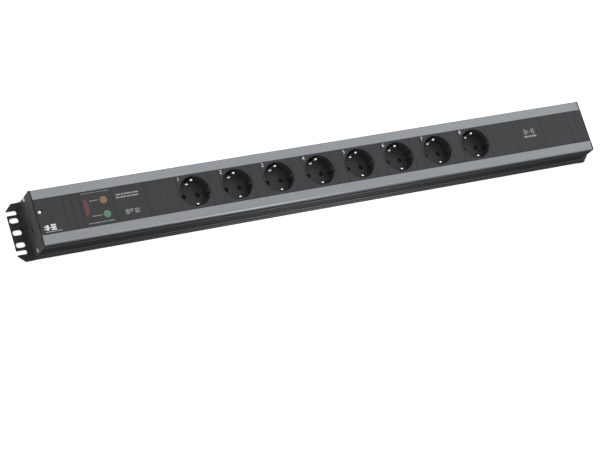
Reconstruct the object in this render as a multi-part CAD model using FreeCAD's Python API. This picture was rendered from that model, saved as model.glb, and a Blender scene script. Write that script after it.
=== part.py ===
import FreeCAD, Part
import os
from math import cos, pi, radians, sin

# Rack power strip, in millimetres. X runs along the strip, Y across its face, Z out of its back.
# The origin is the middle of the back, which is where the bounding box stands.

# --- Driving dimensions ------------------------------------------------------------------------

socket_count = 8
recess_d = 40.0             # earthed two-pin socket: round recess
recess_depth = 17.5
pin_pitch = 19.0            # between the two live pins
pin_hole_d = 5.4
plug_pin_d = 4.8
cup_wall = 1.3              # moulded wall round the recess
module_margin = 0.2
spacer_width = 15.3         # plain strip between two sockets
end_module_width = 36.0
left_filler_width = 10.4
right_filler_width = 12.0

profile_depth = 48.7        # back to front face
base_width = 75.0           # over the foot rails of the black profile
foot_step = 1.7             # how far a foot rail stands out from the side wall
strip_inset = 0.3           # how far a silver strip's edge lies inside the side wall
floor_t = 2.2
wall_t = 2.8
lip_t = 2.0
strip_t = 2.5               # silver strip
strip_fall = 1.0            # how far the strip's outer edge drops

sheet_t = 2.0               # rack bracket, folded sheet steel
bracket_reach = 20.5
bracket_over = 0.3          # how far the bracket's flange stands past a foot rail
bracket_chamfer = 8.6
rack_hole_pitch = 15.875    # hole pitch of a rack upright
slot_width = 7.0
slot_length = 12.0
slot_centre = 13.25         # from the end of the profile
edge_slot_width = 5.8
edge_slot_y = 25.5

inlet_recess = (30.6, 21.0, 24.0)   # across, high, deep
inlet_screw_pitch = 50.0
lamp_d = 10.0

running_gap = 0.05          # radial, a turning fit
free_gap = 0.3              # between pieces that move past each other
fit_gap = 0.1               # between pieces that only sit side by side
shutter_turn = 35.0         # degrees from closed to open

# --- Sizes that follow -------------------------------------------------------------------------

wall_width = base_width - 2 * foot_step
face_width = wall_width - 2 * strip_inset
bracket_width = base_width + 2 * bracket_over
cup_r = recess_d / 2 + cup_wall
module_width = 2 * (cup_r + module_margin)
lip_y = cup_r + free_gap                    # half the opening between the profile's lips
plate_y = lip_y + 0.9                       # half width of a module's face plate
strip_y = plate_y + 0.2                     # inner edge of a silver strip
plate_t = strip_t - fit_gap
seat_z = profile_depth - strip_t            # the lips' upper face, which the plates rest on
lip_under_z = seat_z - lip_t

widths = [end_module_width, left_filler_width, left_filler_width] + [module_width] * 3
for number in range(socket_count):
    widths += [module_width] if number == 0 else [spacer_width, module_width]
widths += [module_width] * 3 + [right_filler_width] * 2
length = sum(widths)
edges = [-length / 2]
for width in widths:
    edges.append(edges[-1] + width)
cells = list(zip(edges[:-1], edges[1:]))
end_cell = cells[0]
left_filler_cells = cells[1:3]
surge_cell, label_cell, lamp_cell = cells[3:6]
socket_cells = cells[6:6 + 2 * socket_count - 1:2]
spacer_cells = cells[7:6 + 2 * socket_count - 1:2]
blank_cell, radio_cell, last_cell = cells[-5:-2]
right_filler_cells = cells[-2:]
socket_x = [(low + high) / 2 for low, high in socket_cells]

# depths inside a socket, measured down from the face
socket_floor_t = 2.0
disc_top_z = profile_depth - recess_depth - socket_floor_t - free_gap
disc_t = 2.2
hub_z = disc_top_z - disc_t - 3.0           # lower end of the shutter's hub
disc_r = pin_pitch / 2 + 4.0
pivot_r = 2.0
snap_r = 2.4
hub_r = 3.0

# power rails, measured up from the profile's floor
carrier_t = 2.0
carrier_z = floor_t + carrier_t
rail_t = 1.0
power_rail_z = carrier_z + 4.3
power_rail_y = (8.0, 14.0)
contact_gap = plug_pin_d / 2 + running_gap
contact_t = 0.6
contact_length = 6.0
leaf_top_z = hub_z - 1.5
shroud_gap = 5.0            # from the power rails up to a socket's shroud
clip_y = recess_d / 2 - 2.4                 # inner face of an earth clip, low in the recess
clip_foot_y = max(clip_y - 2.4, disc_r + free_gap)  # and of its leg, clear of the shutter
clip_t = 0.8
clip_width = 4.5

screw_y = wall_width / 2 - 2.8              # screw ports run along the side walls
screw_z = profile_depth - 25.5
port_r = 1.5

out = {}


# --- Shapes ------------------------------------------------------------------------------------

def vec(x, y, z):
    return FreeCAD.Vector(x, y, z)


def box(x0, x1, y0, y1, z0, z1):
    return Part.makeBox(x1 - x0, y1 - y0, z1 - z0, vec(x0, y0, z0))


def rod(radius, x, y, z0, z1):
    return Part.makeCylinder(radius, z1 - z0, vec(x, y, z0), vec(0, 0, 1))


def rod_x(radius, x0, x1, y, z):
    return Part.makeCylinder(radius, x1 - x0, vec(x0, y, z), vec(1, 0, 0))


def prism(points, travel):
    """A closed outline, given as 3-D points, pushed along a vector."""
    corners = [vec(*p) for p in points]
    return Part.Face(Part.makePolygon(corners + corners[:1])).extrude(vec(*travel))


def across(points, x0, x1):
    """An outline in Y and Z, pushed along X."""
    return prism([(x0, y, z) for y, z in points], (x1 - x0, 0, 0))


def both_sides(points):
    """An outline's right half, and the same points mirrored to close the left half."""
    return points + [(-y, z) for y, z in reversed(points)]


def mirror_y(shape):
    return shape.mirror(vec(0, 0, 0), vec(0, 1, 0))


def mirror_x(shape):
    return shape.mirror(vec(0, 0, 0), vec(1, 0, 0))


def join(shapes):
    first, rest = shapes[0], shapes[1:]
    return first.fuse(rest).removeSplitter() if rest else first


def cut(shape, tools):
    return shape.cut(tools)


def group(shapes):
    return Part.makeCompound(shapes)


def slot(x, y, z0, z1, long, wide):
    """A slot along X with round ends."""
    half = (long - wide) / 2
    ends = [rod(wide / 2, x + side * half, y, z0, z1) for side in (-1, 1)]
    return join([box(x - half, x + half, y - wide / 2, y + wide / 2, z0, z1)] + ends)


def wire_run(points, bend, radius):
    """A round wire along straight runs that are joined by tangent arcs."""
    path = [vec(*p) for p in points]
    parts, start = [], path[0]
    for before, corner, after in zip(path, path[1:], path[2:]):
        into = (corner - before).normalize()
        away = (after - corner).normalize()
        turn = into.getAngle(away)
        reach = bend * (sin(turn / 2) / cos(turn / 2))
        first, last = corner - into * reach, corner + away * reach
        inward = (away - into).normalize()
        middle = corner + inward * (bend / cos(turn / 2) - bend)
        parts.append(Part.LineSegment(start, first).toShape())
        parts.append(Part.Arc(first, middle, last).toShape())
        start = last
    parts.append(Part.LineSegment(start, path[-1]).toShape())
    path_wire = Part.Wire(parts)
    circle = Part.Wire(Part.Circle(path[0], (path[1] - path[0]).normalize(), radius).toShape())
    return path_wire.makePipeShell([circle], True, False)


# --- Black profile and the silver strips that slide into it ------------------------------------

strip_mid = (strip_y + face_width / 2) / 2
tongue = {"stem": 0.8, "bar": 1.8, "stem_h": 1.4, "bar_h": 1.0}


def tongue_outline(gap):
    """The T-shaped tongue under a strip, or with a gap the slot that it slides in."""
    stem = tongue["stem"] + gap
    bar = tongue["bar"] + gap
    neck_z = seat_z - tongue["stem_h"] + gap
    low_z = seat_z - tongue["stem_h"] - tongue["bar_h"] - gap
    return [(strip_mid - stem, seat_z), (strip_mid - stem, neck_z), (strip_mid - bar, neck_z),
            (strip_mid - bar, low_z), (strip_mid + bar, low_z), (strip_mid + bar, neck_z),
            (strip_mid + stem, neck_z), (strip_mid + stem, seat_z)]


def make_profile():
    foot = base_width / 2
    wall = wall_width / 2
    inner = wall - wall_t
    neck = face_width / 2 - 0.8
    slot_box = tongue["bar"] + 1.4
    slot_low = seat_z - tongue["stem_h"] - tongue["bar_h"] - 1.3
    right = [
        (foot, 0), (foot, 9.6), (wall + 0.4, 9.6), (wall + 0.4, 11.0), (wall + 1.1, 11.0),
        (wall + 1.1, 17.0), (wall, 17.0), (wall, profile_depth - 12.0),
        (wall + 0.8, profile_depth - 12.0), (wall + 0.8, profile_depth - 9.5),
        (neck, profile_depth - 9.5), (neck, seat_z), (lip_y, seat_z), (lip_y, lip_under_z),
        (inner, lip_under_z), (inner, floor_t),
    ]
    low, high = -length / 2, length / 2
    body = across(both_sides(right), low, high)
    ports, holes = [], []
    for side in (-1, 1):
        y0, y1 = sorted((side * (strip_mid - slot_box), side * min(strip_mid + slot_box, neck)))
        ports.append(box(low, high, y0, y1, slot_low, seat_z))
        ports.append(rod_x(wall - screw_y, low, high, side * screw_y, screw_z))
        holes.append(rod_x(port_r, low, high, side * screw_y, screw_z))
    slide = across(tongue_outline(fit_gap), low, high)
    bond_hole = rod(bond_screw_r + running_gap, bond_x, 0, 0.6, floor_t)
    post_hole = rod(post_r + running_gap, post_x, post_y, 0.6, floor_t)
    return cut(join([body] + ports), holes + [slide, mirror_y(slide), bond_hole, post_hole])


def make_strip():
    edge = face_width / 2
    edge_z = profile_depth - strip_fall
    ridge = 0.4
    top = [(strip_y, seat_z), (strip_y, profile_depth - ridge), (strip_y + ridge, profile_depth),
           (edge - 1.2, edge_z + 0.2), (edge, edge_z - 0.9), (edge, seat_z)]
    plate = across(top, -length / 2, length / 2)
    return join([plate, across(tongue_outline(0), -length / 2, length / 2)])


# --- Rack brackets -----------------------------------------------------------------------------

def countersunk(radius, head_r, y, z, x, grow):
    """A countersunk screw head and the top of its shank, sunk towards +X from the plane at x."""
    sink = head_r - radius
    cone = Part.makeCone(head_r + grow, radius + grow, sink, vec(x + 0.3, y, z), vec(1, 0, 0))
    rim = rod_x(head_r + grow, x, x + 0.3, y, z)
    return join([rim, cone])


def make_bracket():
    """The left-hand bracket: an end plate that closes the profile, and a slotted flange."""
    x_end = -length / 2
    tip = x_end - bracket_reach
    half = bracket_width / 2
    top = profile_depth - 0.6
    inner_r = 1.5
    outer_r = inner_r + sheet_t
    centre = (x_end - outer_r, outer_r)
    diagonal = sin(pi / 4)

    def at(x, z):
        return vec(x, -half, z)

    def corner(radius):
        return at(centre[0] + radius * diagonal, centre[1] - radius * diagonal)

    lines = [
        Part.LineSegment(at(x_end, top), at(x_end, outer_r)),
        Part.Arc(at(x_end, outer_r), corner(outer_r), at(centre[0], 0)),
        Part.LineSegment(at(centre[0], 0), at(tip, 0)),
        Part.LineSegment(at(tip, 0), at(tip, sheet_t)),
        Part.LineSegment(at(tip, sheet_t), at(centre[0], sheet_t)),
        Part.Arc(at(centre[0], sheet_t), corner(inner_r), at(x_end - sheet_t, outer_r)),
        Part.LineSegment(at(x_end - sheet_t, outer_r), at(x_end - sheet_t, top)),
        Part.LineSegment(at(x_end - sheet_t, top), at(x_end, top)),
    ]
    sheet = Part.Face(Part.Wire([line.toShape() for line in lines])).extrude(vec(0, 2 * half, 0))
    tools = []
    plate_half = wall_width / 2 + 0.2
    for side in (-1, 1):
        trim = [(side * plate_half, outer_r), (side * plate_half, top - 1.6),
                (side * (plate_half - 1.6), top + 0.1), (side * (half + 1), top + 0.1),
                (side * (half + 1), outer_r)]
        tools.append(across(trim, x_end - outer_r, x_end + 1))
        tools.append(prism([(tip - 1, side * (half - bracket_chamfer - 1), -1),
                            (tip + bracket_chamfer + 1, side * (half + 1), -1),
                            (tip - 1, side * (half + 1), -1)], (0, 0, sheet_t + 2)))
        reach = slot_centre - slot_length / 2 + edge_slot_width / 2
        tools.append(slot(x_end - reach - 15, side * edge_slot_y, -1, sheet_t + 1,
                          30 + edge_slot_width, edge_slot_width))
        tools.append(countersunk(screw_r, screw_head_r, side * screw_y, screw_z,
                                 x_end - sheet_t, running_gap))
        tools.append(rod_x(screw_r + 0.15, x_end - sheet_t, x_end + 1, side * screw_y, screw_z))
    for row in (-1, 0, 1):
        tools.append(slot(x_end - slot_centre, row * rack_hole_pitch, -1, sheet_t + 1,
                          slot_length, slot_width))
    return cut(sheet, tools)


screw_r = 1.4
screw_head_r = 2.9
earth_hole_r = 2.75
earth_hole_y = -7.7
earth_hole_z = profile_depth - 23.2


def make_bracket_screw(side):
    """One countersunk screw through the left-hand bracket into the profile's screw port."""
    x = -length / 2 - sheet_t
    head = countersunk(screw_r, screw_head_r, side * screw_y, screw_z, x, 0)
    shank = rod_x(screw_r, x + 0.3, x + 14, side * screw_y, screw_z)
    drive = [box(x - 0.1, x + 0.9, side * screw_y - a, side * screw_y + a, screw_z - b, screw_z + b)
             for a, b in ((1.6, 0.35), (0.35, 1.6))]
    return cut(join([head, shank]), drive)


# --- Face plates -------------------------------------------------------------------------------

hook_t = 0.9
skirt_t = 1.0


def make_plate(cell, skirts=True):
    """A snap-in face plate: a flat front, two skirts between the lips, and a hook on each."""
    x0, x1 = cell[0] + fit_gap, cell[1] - fit_gap
    bevel = 0.35
    top = profile_depth
    outline = [(-plate_y, seat_z), (-plate_y, top - bevel), (-plate_y + bevel, top),
               (plate_y - bevel, top), (plate_y, top - bevel), (plate_y, seat_z)]
    plate = across(outline, x0, x1)
    for x, lean in ((x0, 1), (x1, -1)):
        edge = [(x - lean, -plate_y - 1, top - bevel - 1), (x + lean * (bevel + 1), -plate_y - 1, top + 1),
                (x - lean, -plate_y - 1, top + 1)]
        plate = plate.cut(prism(edge, (0, 2 * plate_y + 2, 0)))
    if not skirts:
        return plate
    middle = (x0 + x1) / 2
    half = min(6.0, (x1 - x0) / 2 - 0.5)
    skirt_y = lip_y - free_gap
    low = lip_under_z - 4.0
    pieces = [plate]
    for side in (-1, 1):
        y0, y1 = sorted((side * (skirt_y - skirt_t), side * skirt_y))
        pieces.append(box(x0 + 0.5, x1 - 0.5, y0, y1, low, seat_z + 0.5))
        pieces.append(make_hook(middle - half, middle + half, skirt_y, side))
    return join(pieces)


def make_hook(x0, x1, y, side):
    """A wedge that catches under the profile's lip."""
    top = lip_under_z - fit_gap
    wedge = [(side * (y - 0.3), top), (side * (y + free_gap + hook_t), top), (side * y, top - 2.4),
             (side * (y - 0.3), top - 2.4)]
    return across(wedge, x0, x1)


def make_spacers():
    return group([make_plate(cell) for cell in spacer_cells])


# --- Left end: plain end module, its fixing screw and the standoff that takes it -----------------

post_x = end_cell[0] + 5.0
post_y = 7.0
post_r = 3.0
end_screw_r = 1.45
end_head_r = 2.6


def make_end_module():
    plate = make_plate(end_cell)
    collar = rod(4.2, post_x, post_y, seat_z - 3.0, seat_z + 0.2)
    well = rod(end_head_r + 0.4, post_x, post_y, seat_z - 0.6, profile_depth + 1)
    hole = rod(end_screw_r + 0.15, post_x, post_y, seat_z - 4, profile_depth)
    return cut(join([plate, collar]), [well, hole])


def make_end_standoff():
    """A hexagonal standoff whose spigot is pressed into the profile's floor."""
    top = seat_z - 3.0
    corners = [(post_x + 4 * cos(k * pi / 3), post_y + 4 * sin(k * pi / 3), floor_t) for k in range(6)]
    spigot = rod(post_r, post_x, post_y, 0.6, floor_t + 0.1)
    thread = rod(end_screw_r + running_gap, post_x, post_y, top - 10, top)
    return cut(join([prism(corners, (0, 0, top - floor_t)), spigot]), [thread])


def make_end_screw():
    low = seat_z - 0.6
    head = rod(end_head_r, post_x, post_y, low, low + 1.6)
    head = head.makeFillet(0.5, [edge for edge in head.Edges if edge.BoundBox.ZMin > low + 1.5])
    shank = rod(end_screw_r, post_x, post_y, low - 8, low + 0.1)
    drive = [box(post_x - a, post_x + a, post_y - b, post_y + b, low + 0.8, low + 2)
             for a, b in ((1.4, 0.3), (0.3, 1.4))]
    return cut(join([head, shank]), drive)


# --- Sockets -----------------------------------------------------------------------------------

def make_socket(cell):
    """A round recess with two guide ribs, earth clip grooves, pin holes and a pivot below."""
    x = (cell[0] + cell[1]) / 2
    floor_z = profile_depth - recess_depth
    under_z = floor_z - socket_floor_t
    shroud_low = power_rail_z + rail_t + shroud_gap
    shroud = cup_r - fit_gap
    rim_h = 0.4
    pieces = [
        make_plate(cell, skirts=False),
        rod(cup_r, x, 0, under_z, profile_depth),
        rod(recess_d / 2 + 0.9, x, 0, seat_z, profile_depth + rim_h),
        box(x - shroud, x + shroud, -shroud, shroud, shroud_low, floor_z),
    ]
    for side in (-1, 1):
        pieces.append(make_hook(x - 6, x + 6, cup_r, side))
        y0, y1 = sorted((side * (cup_r - 1.6), side * cup_r))
        pieces.append(box(x - 6, x + 6, y0, y1, lip_under_z - 4, seat_z))
    body = join(pieces)
    wide = shroud - cup_wall
    body = cut(body, [rod(recess_d / 2, x, 0, floor_z, profile_depth + 2),
                      box(x - wide, x + wide, -wide, wide, shroud_low - 1, under_z)])
    ribs = []
    for side in (-1, 1):
        x0, x1 = sorted((x + side * (recess_d / 2 - 1.8), x + side * (recess_d / 2 + 0.5)))
        ribs.append(box(x0, x1, -2.5, 2.5, floor_z - 0.5, profile_depth - 2.0))
    pivot = [rod(pivot_r, x, 0, hub_z - free_gap, floor_z - 0.5),
             rod(snap_r, x, 0, hub_z - free_gap - 1.0, hub_z - free_gap)]
    body = join([body] + ribs + pivot)
    tools = []
    for side in (-1, 1):
        tools.append(rod(pin_hole_d / 2, x + side * pin_pitch / 2, 0, under_z - 1, floor_z + 1))
        y0, y1 = sorted((side * (clip_foot_y - 0.6), side * (recess_d / 2 + 0.7)))
        tools.append(box(x - clip_width / 2 - 0.5, x + clip_width / 2 + 0.5, y0, y1,
                         under_z - 1, profile_depth - 1.0))
    return cut(body, tools)


def make_shutter(x):
    """A turning disc that blocks both pin holes until a plug's pins push it round."""
    hole_turn = radians(-shutter_turn)
    reach = pin_pitch / 2
    disc = join([rod(disc_r, x, 0, disc_top_z - disc_t, disc_top_z),
                 rod(hub_r, x, 0, hub_z, disc_top_z)])
    bore = rod(pivot_r + running_gap, x, 0, hub_z - 1, disc_top_z + 1)
    tools = [bore]
    arc = 2 * reach * sin(radians(shutter_turn) / 2)
    ramp = prism([(x + reach - 2.9, 0, disc_top_z + 1), (x + reach - 2.9, 0, disc_top_z),
                  (x + reach - 2.9, -arc, disc_top_z - 1.5), (x + reach - 2.9, -arc, disc_top_z + 1)],
                 (5.0, 0, 0))
    hole = rod(pin_hole_d / 2 + 0.1, x + reach * cos(hole_turn), reach * sin(hole_turn),
               disc_top_z - disc_t - 1, disc_top_z + 1)
    for tool in (ramp, hole):
        other = tool.copy()
        other.rotate(vec(x, 0, 0), vec(0, 0, 1), 180)
        tools += [tool, other]
    return cut(disc, tools)


def make_shutter_spring(x):
    """A hairpin of spring wire round the shutter's hub."""
    wire_r = 0.3
    bend = hub_r + 0.2 + wire_r
    z = disc_top_z - disc_t - wire_r
    reach = disc_r - 2.5
    parts = [
        Part.LineSegment(vec(x - bend, reach, z), vec(x - bend, 0, z)).toShape(),
        Part.Arc(vec(x - bend, 0, z), vec(x, -bend, z), vec(x + bend, 0, z)).toShape(),
        Part.LineSegment(vec(x + bend, 0, z), vec(x + bend, reach, z)).toShape(),
    ]
    circle = Part.Wire(Part.Circle(vec(x - bend, reach, z), vec(0, 1, 0), wire_r).toShape())
    return Part.Wire(parts).makePipeShell([circle], True, False)


# --- Power rails and the carrier that holds them -------------------------------------------------

rail_x0 = surge_cell[0] + 6.0
rail_x1 = radio_cell[1] + 3.0
bond_x = rail_x1 + 3.0
bond_screw_r = 1.9


def make_power_rail(side):
    """A brass strip with a pair of contact leaves for one pin of every socket."""
    z0, z1 = power_rail_z, power_rail_z + rail_t
    y0, y1 = sorted((side * power_rail_y[0], side * power_rail_y[1]))
    pieces = [box(rail_x0, rail_x1, y0, y1, z0, z1)]
    leaf = contact_gap + contact_t
    for centre in socket_x:
        x = centre + side * pin_pitch / 2
        xa, xb = x - contact_length / 2, x + contact_length / 2
        ya, yb = sorted((-side * leaf, side * (power_rail_y[0] + 0.5)))
        pieces.append(box(xa, xb, ya, yb, z0, z1))
        for hand in (-1, 1):
            la, lb = sorted((hand * contact_gap, hand * leaf))
            pieces.append(box(xa, xb, la, lb, z0, leaf_top_z))
    return join(pieces)


def make_earth_rail():
    """A steel strip with two spring clips standing up into every socket."""
    z0, z1 = carrier_z, carrier_z + rail_t
    tip_z = profile_depth - 2.2
    floor_z = profile_depth - recess_depth
    pieces = [box(rail_x0, rail_x1, -5, 5, z0, z1)]
    inner = [(clip_foot_y, z0), (clip_foot_y, floor_z + 0.6), (clip_y, floor_z + 3.2),
             (clip_y - 0.8, tip_z - 1.2), (clip_y - 0.2, tip_z)]
    outline = inner + [(y + clip_t, z) for y, z in reversed(inner)]
    cross_y = clip_foot_y + clip_t
    for x in socket_x:
        xa = x - clip_width / 2
        pieces.append(box(xa, xa + clip_width, -cross_y, cross_y, z0, z1))
        leg = across(outline, xa, xa + clip_width)
        pieces += [leg, mirror_y(leg)]
    pieces.append(box(rail_x1 - 0.5, bond_x + 5, -5, 5, z0, z1))
    rail = join(pieces)
    return cut(rail, [rod(bond_screw_r + 0.2, bond_x, 0, z0 - 1, z1 + 1)])


def make_carrier():
    """A moulded tray on the profile's floor, with posts that grip the two power rails."""
    half = clip_y - 0.2
    x0, x1 = rail_x0 - 3, rail_x1 - 3
    pieces = [box(x0, x1, -half, half, floor_t, carrier_z)]
    stops = [x0 + 4] + [(a + b) / 2 for a, b in spacer_cells] + [x1 - 4]
    stops += [socket_cells[0][0] - module_width, socket_cells[-1][1] + module_width / 2]
    wall = 1.4
    for x in stops:
        for side in (-1, 1):
            inner, outer = power_rail_y
            y0, y1 = sorted((side * (inner - wall), side * (outer + wall)))
            pieces.append(box(x - 2, x + 2, y0, y1, carrier_z - 0.5, power_rail_z))
            for a, b in ((inner - wall, inner - fit_gap), (outer + fit_gap, outer + wall)):
                ya, yb = sorted((side * a, side * b))
                pieces.append(box(x - 2, x + 2, ya, yb, carrier_z, power_rail_z + rail_t + 0.8))
    return join(pieces)


def make_bond_screw():
    """The pan-head screw that bonds the earth rail to the profile."""
    z = carrier_z + rail_t
    head = rod(3.6, bond_x, 0, z, z + 2.4)
    head = head.makeFillet(0.8, [edge for edge in head.Edges if edge.BoundBox.ZMin > z + 2])
    spacer = cut(rod(4.2, bond_x, 0, floor_t, carrier_z), [rod(bond_screw_r, bond_x, 0, 0, z)])
    shank = rod(bond_screw_r, bond_x, 0, 0.8, z + 0.1)
    drive = [box(bond_x - a, bond_x + a, -b, b, z + 1.2, z + 3) for a, b in ((2.0, 0.4), (0.4, 2.0))]
    return cut(join([head, spacer, shank]), drive)


# --- Surge protection module ---------------------------------------------------------------------

amber_y = 8.6
green_y = -9.8
tell_tale_x = lamp_cell[0] + 22.6
tell_tale_y = 3.0
tell_tale_r = 2.0
board_z = profile_depth - 14.0
board_t = 1.6
board_half_y = 16.0
board_post_r = 2.2
board_post_in = 4.2
lens_flange = 1.2
lens_lip = 0.9
dome_h = 0.8
lamp_x = surge_cell[1] - board_post_in - board_post_r - free_gap - lens_lip - lamp_d / 2


def board_corners(cell):
    ends = (cell[0] + board_post_in, cell[1] - board_post_in)
    return [(x, side * (board_half_y - 3)) for x in ends for side in (-1, 1)]


def add_board_posts(plate, cell):
    posts = [rod(board_post_r, x, y, board_z, seat_z + 0.2) for x, y in board_corners(cell)]
    return join([plate] + posts)


def make_board(cell):
    return box(cell[0] + 3, cell[1] - 3, -board_half_y, board_half_y, board_z - board_t, board_z)


def make_surge_cover():
    plate = add_board_posts(make_plate(surge_cell), surge_cell)
    holes = [rod(lamp_d / 2 + fit_gap, lamp_x, y, seat_z - 1, profile_depth + 1) for y in (amber_y, green_y)]
    return cut(plate, holes)


def make_lens(x, y, radius):
    """A lens with a low dome outside and a flange behind the face plate."""
    base = profile_depth + 0.2
    swell = (radius ** 2 + dome_h ** 2) / (2 * dome_h)
    ball = Part.makeSphere(swell, vec(x, y, base + dome_h - swell))
    dome = ball.common(rod(radius, x, y, base - 0.1, base + 2))
    barrel = rod(radius, x, y, seat_z - lens_flange, base)
    flange = rod(radius + lens_lip, x, y, seat_z - lens_flange, seat_z)
    hollow = rod(radius - 1.6, x, y, seat_z - lens_flange - 1, profile_depth - 1.2)
    return cut(join([barrel, dome, flange]), [hollow])


def make_tell_tale():
    base = rod(tell_tale_r, tell_tale_x, tell_tale_y, seat_z - 4, profile_depth + 0.2)
    flange = rod(tell_tale_r + 0.8, tell_tale_x, tell_tale_y, seat_z - 1, seat_z)
    return join([base, flange])


def make_lamp_cover():
    hole = rod(tell_tale_r + fit_gap, tell_tale_x, tell_tale_y, seat_z - 1, profile_depth + 1)
    return cut(make_plate(lamp_cell), [hole])


def make_leds():
    """One light-emitting diode under each lens, on the surge board, and one under the small lens."""
    bodies = []
    for y in (amber_y, green_y):
        tube = rod(2.5, lamp_x, y, board_z, profile_depth - 7)
        cap = Part.makeSphere(2.5, vec(lamp_x, y, profile_depth - 7))
        bodies.append(join([tube, cap, rod(2.9, lamp_x, y, board_z, board_z + 1)]))
    top = seat_z - 4
    bodies.append(join([rod(1.5, tell_tale_x, tell_tale_y, top - 5, top),
                        rod(1.9, tell_tale_x, tell_tale_y, top - 5, top - 4)]))
    return group(bodies)


def make_varistors():
    """Three disc varistors standing under the surge board."""
    top = board_z - board_t
    discs = []
    for k in range(3):
        x = surge_cell[0] + 10.0 + 9.0 * k
        disc = Part.makeCylinder(6.0, 4.0, vec(x, 0, top - 8), vec(1, 0, 0))
        legs = [rod(0.4, x + 2, side * 2.5, top - 4, top) for side in (-1, 1)]
        discs.append(join([disc] + legs))
    return group(discs)


# --- Radio switching module ----------------------------------------------------------------------

def make_radio_cover():
    return add_board_posts(make_plate(radio_cell), radio_cell)


def make_relay():
    """A sealed switching relay under the radio board."""
    x = (radio_cell[0] + radio_cell[1]) / 2
    top = board_z - board_t
    return box(x - 9, x + 9, -5.5, 5.5, top - 11, top)


# --- Supply inlet in the right-hand bracket --------------------------------------------------------

inlet_z = profile_depth / 2 + 2.15
inlet_wall = 1.8
inlet_flange = (59.0, 28.0, 2.5)
inlet_back = 2.5            # thickness of the inlet's rear wall
plate_out_x = length / 2 + sheet_t
inlet_floor_x = plate_out_x + inlet_flange[2] - inlet_recess[2]
inlet_pin = (8.0, 2.0, 19.0)
inlet_pins_at = [(-6.5, 4.0), (6.5, 4.0), (0.0, -4.0)]
inlet_tab = 8.0


def inlet_shell(grow):
    """The inlet's body behind its flange."""
    y = inlet_recess[0] / 2 + inlet_wall + grow
    z = inlet_recess[1] / 2 + inlet_wall + grow
    back = inlet_floor_x - inlet_back
    return box(back - grow, plate_out_x, -y, y, inlet_z - z, inlet_z + z)


def make_inlet():
    half_y, half_z = inlet_flange[0] / 2, inlet_flange[1] / 2
    face_x = plate_out_x + inlet_flange[2]
    flange = box(plate_out_x, face_x, -half_y, half_y, inlet_z - half_z, inlet_z + half_z)
    flange = flange.makeFillet(4.0, [e for e in flange.Edges if e.BoundBox.YLength < 0.01
                                     and e.BoundBox.ZLength < 0.01])
    y, z = inlet_recess[0] / 2, inlet_recess[1] / 2
    mouth = box(inlet_floor_x, face_x + 1, -y, y, inlet_z - z, inlet_z + z)
    mouth = mouth.makeFillet(2.5, [e for e in mouth.Edges if e.BoundBox.YLength < 0.01
                                   and e.BoundBox.ZLength < 0.01])
    tools = [mouth]
    for side in (-1, 1):
        at = side * inlet_screw_pitch / 2
        tools.append(mirror_x(countersunk(1.6, 2.8, at, inlet_z, -face_x, running_gap)))
        tools.append(rod_x(1.75, plate_out_x - 1, face_x, at, inlet_z))
    for y_at, z_at in inlet_pins_at:
        tools.append(pin_bar(y_at, z_at, inlet_floor_x - inlet_back - 1, inlet_floor_x + 1))
    return cut(join([flange, inlet_shell(0)]), tools)


def pin_bar(y, z, x0, x1):
    half_y, half_z = inlet_pin[0] / 2, inlet_pin[1] / 2
    return box(x0, x1, y - half_y, y + half_y, inlet_z + z - half_z, inlet_z + z + half_z)


def make_inlet_pins():
    back = inlet_floor_x - inlet_back - inlet_tab
    return group([pin_bar(y, z, back, inlet_floor_x + inlet_pin[2]) for y, z in inlet_pins_at])


def make_inlet_screws():
    face_x = plate_out_x + inlet_flange[2]
    screws = []
    for side in (-1, 1):
        y = side * inlet_screw_pitch / 2
        head = mirror_x(countersunk(1.6, 2.8, y, inlet_z, -face_x, 0))
        shank = rod_x(1.6, face_x - 9, face_x - 0.3, y, inlet_z)
        drive = [box(face_x - 0.9, face_x + 1, y - a, y + a, inlet_z - b, inlet_z + b)
                 for a, b in ((1.5, 0.3), (0.3, 1.5))]
        screws.append(cut(join([head, shank]), drive))
    return group(screws)


wire_r = 1.6


def make_supply_wire(index, end_y, end_z):
    """An insulated wire from one inlet tab down to the end of its rail."""
    y, z = inlet_pins_at[index]
    tab_x = inlet_floor_x - inlet_back - inlet_tab
    start = (tab_x, y, inlet_z + z)
    bend = 3.0
    knee_x = tab_x - 6.0
    end_x = rail_x1 + (0.0 if index < 2 else 8.0)
    points = [start, (knee_x, y, inlet_z + z), (knee_x - 4.0, end_y, end_z + wire_r),
              (end_x, end_y, end_z + wire_r)]
    return wire_run(points, bend, wire_r)


# --- Build ---------------------------------------------------------------------------------------

def make_right_bracket(left):
    right = mirror_x(left)
    hole_screws = [rod_x(1.65, plate_out_x - 5, plate_out_x + 1, side * inlet_screw_pitch / 2, inlet_z)
                   for side in (-1, 1)]
    return cut(right, [inlet_shell(fit_gap)] + hole_screws)


plain_bracket = make_bracket()
earth_hole = rod_x(earth_hole_r, -length / 2 - 5, -length / 2 + 1, earth_hole_y, earth_hole_z)
strip = make_strip()
left_screws = [make_bracket_screw(side) for side in (-1, 1)]
middle_y = sum(power_rail_y) / 2
rail_top = power_rail_z + rail_t

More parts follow.
